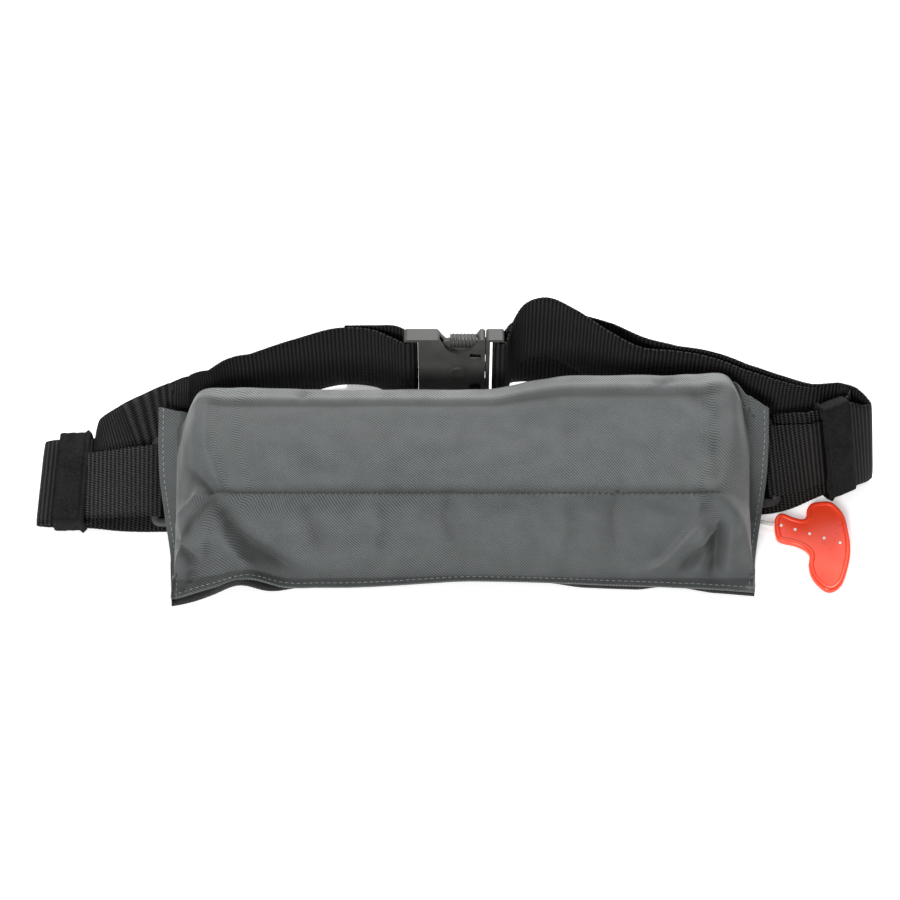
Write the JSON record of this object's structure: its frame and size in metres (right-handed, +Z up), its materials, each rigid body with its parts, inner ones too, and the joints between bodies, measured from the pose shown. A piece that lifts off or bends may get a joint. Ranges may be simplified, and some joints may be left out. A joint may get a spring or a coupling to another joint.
{
  "type": "inflatable belt pack",
  "caption": "Slim padded fabric pouch on a wide webbing waist belt with a side-release buckle and a pull tab on a cord.",
  "frame": {"origin": "on the underside of the waist belt, below the middle of the pouch, at the height of the table", "axes": "+Z up from the table, +X along the belt towards the pull tab, +Y towards the top edge of the pouch and the buckle"},
  "size_m": [0.4245, 0.1422, 0.0731],
  "materials": {
    "cover_cloth": "mid grey coated twill with a dull sheen",
    "backing_cloth": "black, matt",
    "bladder_film": "coated bladder cloth, folded inside the pouch",
    "webbing": "black ribbed webbing",
    "keeper_cloth": "black, smooth",
    "black_plastic": "black, satin",
    "red_plastic": "orange red, glossy",
    "white_cord": "white braided cord"
  },
  "bodies": {
    "root": {"front_cover": "cover_cloth", "back_panel": "backing_cloth", "folded_bladder": "bladder_film", "left_belt": "webbing", "right_belt": "webbing", "left_front_strap": "webbing", "right_front_strap": "webbing", "left_ring": "black_plastic", "right_ring": "black_plastic", "left_keeper": "keeper_cloth", "right_keeper": "keeper_cloth", "buckle_socket": "black_plastic", "buckle_plug": "black_plastic", "pull_tab": "red_plastic", "pull_cord": "white_cord"}
  },
  "joints": []
}
